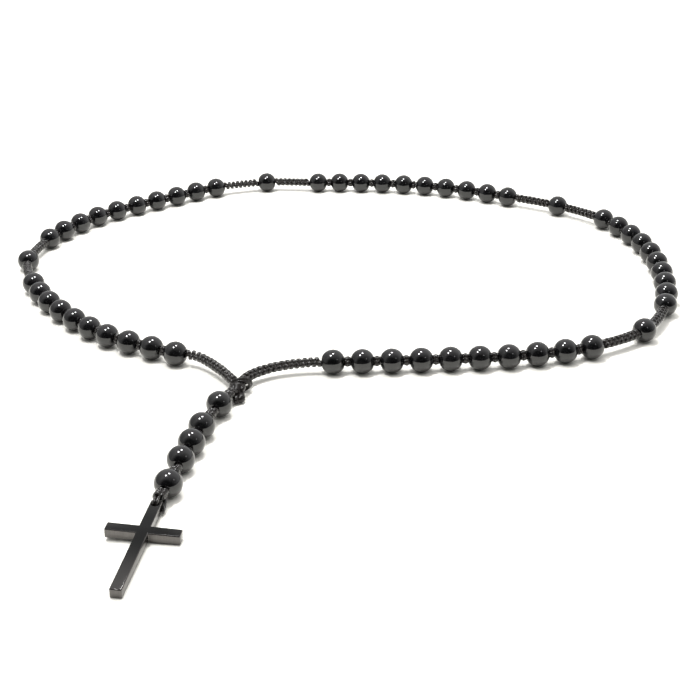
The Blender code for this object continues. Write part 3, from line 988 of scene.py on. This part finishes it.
def tie_cord_loop(sizes, lay, finishes):
    """Two strands from the end sleeve that go over the cross's end and down through its hole,
    and a pointed end beside it."""
    place = cross_place(sizes)
    tubes = Tubes()
    radius = 0.42 * MM
    top = sizes.cross_thickness / 2
    begin = place.inverted() @ lay.point(lay.length - sizes.cord_loop - 0.6 * MM)
    for shift in (-0.46, 0.44):
        route = [
            (begin.x + 1.1 * shift * MM, begin.y, begin.z),
            (shift * 1.1 * MM, sizes.hole_from_end + 0.55 * MM, top + 0.9 * MM),
            (shift * MM, sizes.hole_from_end - 0.5 * MM, top + 0.78 * MM),
            (shift * 0.95 * MM, 0.55 * MM, top + 0.62 * MM),
            (shift * 0.95 * MM, 0.12 * MM, top + 0.25 * MM),
            (shift * 0.95 * MM, 0.0, top - 0.4 * MM),
            (shift * 0.95 * MM, 0.0, -top + 0.5 * MM),
        ]
        tubes.add(bent(route, place), radius, sides=8)
    # The pointed end beside the cross, in millimetres on the table
    route = [
        (-46.8, -104.2, 3.2), (-46.55, -106.0, 2.9), (-46.5, -107.6, 2.2),
        (-46.45, -109.2, 1.5), (-46.6, -110.8, 0.9),
    ]
    points = bent(np.array(route) * MM, Matrix.Identity(4))
    width = np.interp(np.linspace(0, 1, len(points)), (0, 0.5, 1), (1.0, 0.95, 0.25))
    beside = [Vector((0.0, 0.0, 1.0))] * len(points)
    double(tubes, points, beside, 1.6 * MM, 0.3, width.tolist())
    return tubes.piece("cord_loop", finishes, "cord")


def bent(route, place):
    """A smooth line through the route's points, moved by the matrix place."""
    curve = smooth(np.array(route, float))[::4]
    return [place @ Vector(p) for p in curve]


class ROSARY_OT_cross(bpy.types.Operator):
    """Cuts the steel cross, drills it and lays it on the table"""

    bl_idname = "rosary.cross"
    bl_label = "Cross"

    def execute(self, context):
        sizes = context.scene.rosary_sizes
        colours = context.scene.rosary_colours
        start_piece()
        bar, thick = sizes.cross_bar, sizes.cross_thickness
        top = sizes.hole_from_end
        arms = top - sizes.cross_top
        bpy.ops.mesh.primitive_cube_add(
            size=1.0, location=(0, top - sizes.cross_length / 2, 0),
            scale=(bar, sizes.cross_length, thick),
        )
        cross = context.active_object
        bpy.ops.object.transform_apply(location=True, rotation=True, scale=True)
        bpy.ops.object.mode_set(mode="EDIT")
        for y in (arms + bar / 2, arms - bar / 2):
            bpy.ops.mesh.select_all(action="SELECT")
            bpy.ops.mesh.bisect(plane_co=(0, y, 0), plane_no=(0, 1, 0))
        reach = (sizes.cross_span - bar) / 2
        for way in (1, -1):
            pick(
                cross,
                lambda face: face.normal.x * way > 0.9
                and abs(face.calc_center_median().y - arms) < bar / 4,
            )
            bpy.ops.mesh.extrude_region_move(
                TRANSFORM_OT_translate={"value": (way * reach, 0, 0)}
            )
        turn_outwards(cross)
        bpy.ops.object.mode_set(mode="OBJECT")

        edge = cross.modifiers.new("softened edges", "BEVEL")
        edge.width = 0.32 * MM
        edge.segments = 3
        edge.limit_method = "ANGLE"
        edge.angle_limit = math.radians(50)
        bpy.ops.object.modifier_apply(modifier=edge.name)

        start_piece()
        bpy.ops.mesh.primitive_cylinder_add(
            vertices=40, radius=sizes.cross_hole / 2, depth=thick * 2
        )
        drill = context.active_object
        bpy.ops.object.transform_apply(location=True, rotation=True, scale=True)
        start_piece()
        cross.select_set(True)
        context.view_layer.objects.active = cross
        cut = cross.modifiers.new("hole", "BOOLEAN")
        cut.operation = "DIFFERENCE"
        cut.solver = "EXACT"
        cut.object = drill
        bpy.ops.object.modifier_apply(modifier=cut.name)
        bpy.data.meshes.remove(drill.data)

        place = cross_place(sizes)
        cross.data.transform(place)
        finish_piece(cross, "steel_cross", steel_material(colours), 30.0)
        middle = place @ Vector((0.0, arms, thick / 2))
        cross.data.materials.append(enamel_material(colours, middle))
        for face in cross.data.polygons:
            face.material_index = int(face.normal.z > 0.9)
        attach(cross, "cross")
        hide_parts("cross")
        return {"FINISHED"}


class ROSARY_PT_panel(bpy.types.Panel):
    """Lists the rosary's sizes, colours and pieces"""

    bl_idname = "ROSARY_PT_panel"
    bl_label = "Rosary"
    bl_space_type = "VIEW_3D"
    bl_region_type = "UI"
    bl_category = "Rosary"

    def draw(self, context):
        layout = self.layout
        for group in (context.scene.rosary_sizes, context.scene.rosary_colours):
            column = layout.column(align=True)
            for name in group.bl_rna.properties.keys():
                if name not in ("rna_type", "name"):
                    column.prop(group, name)
        for operator in OPERATORS:
            layout.operator(operator.bl_idname)


OPERATORS = (
    ROSARY_OT_stage, ROSARY_OT_cord, ROSARY_OT_loop_knots, ROSARY_OT_beads, ROSARY_OT_drop,
    ROSARY_OT_cross,
)
CLASSES = (RosarySizes, RosaryColours, *OPERATORS, ROSARY_PT_panel)


def register():
    for made in CLASSES:
        bpy.utils.register_class(made)
    bpy.types.Scene.rosary_sizes = bpy.props.PointerProperty(type=RosarySizes)
    bpy.types.Scene.rosary_colours = bpy.props.PointerProperty(type=RosaryColours)


def unregister():
    del bpy.types.Scene.rosary_colours
    del bpy.types.Scene.rosary_sizes
    for made in reversed(CLASSES):
        bpy.utils.unregister_class(made)


def main():
    register()
    bpy.ops.rosary.stage()
    bpy.ops.rosary.cord()
    bpy.ops.rosary.loop_knots()
    bpy.ops.rosary.beads()
    bpy.ops.rosary.drop()
    bpy.ops.rosary.cross()


if __name__ == "__main__":
    main()
